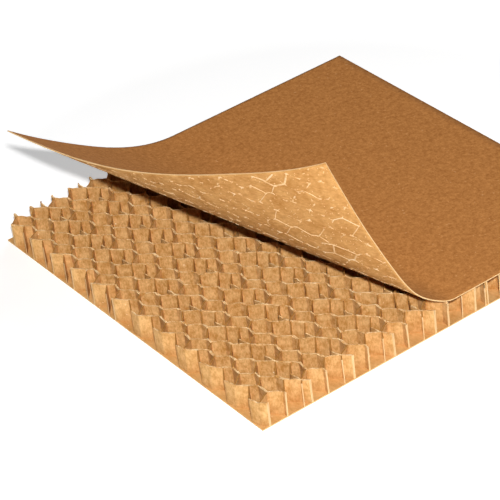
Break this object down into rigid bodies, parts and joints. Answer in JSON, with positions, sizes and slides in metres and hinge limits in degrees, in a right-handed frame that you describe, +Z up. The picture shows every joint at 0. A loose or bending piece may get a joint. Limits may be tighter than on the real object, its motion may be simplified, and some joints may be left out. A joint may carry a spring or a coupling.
{
  "type": "paper honeycomb board",
  "caption": "Square sample of paper honeycomb board: a core of zigzag kraft strips between two kraft liners, with the upper liner peeled back and curled up.",
  "frame": {"origin": "centre of the underside of the lower liner", "axes": "+X across the core strips, from the peeled end to the glued end; +Y along the core strips, away from the side where the curl is highest; +Z up through the board's thickness"},
  "size_m": [0.152, 0.1508, 0.0751],
  "materials": {
    "kraft_liner": "matte kraft liner, fine fibres",
    "core_paper": "matte recycled kraft paper"
  },
  "bodies": {
    "root": {"bottom_liner": "kraft_liner", "top_liner": "kraft_liner", "core_strip_01": "core_paper", "core_strip_02": "core_paper", "core_strip_03": "core_paper", "core_strip_04": "core_paper", "core_strip_05": "core_paper", "core_strip_06": "core_paper", "core_strip_07": "core_paper", "core_strip_08": "core_paper", "core_strip_09": "core_paper", "core_strip_10": "core_paper", "core_strip_11": "core_paper", "core_strip_12": "core_paper", "core_strip_13": "core_paper", "core_strip_14": "core_paper", "core_strip_15": "core_paper", "core_strip_16": "core_paper", "core_strip_17": "core_paper", "core_strip_18": "core_paper", "core_strip_19": "core_paper", "core_strip_20": "core_paper", "core_strip_21": "core_paper", "core_strip_22": "core_paper", "core_strip_23": "core_paper", "core_strip_24": "core_paper", "core_strip_25": "core_paper", "core_strip_26": "core_paper", "core_strip_27": "core_paper", "core_strip_28": "core_paper", "core_strip_29": "core_paper", "core_strip_30": "core_paper", "core_strip_31": "core_paper", "core_strip_32": "core_paper", "core_strip_33": "core_paper", "core_strip_34": "core_paper", "core_strip_35": "core_paper", "core_strip_36": "core_paper"}
  },
  "joints": []
}
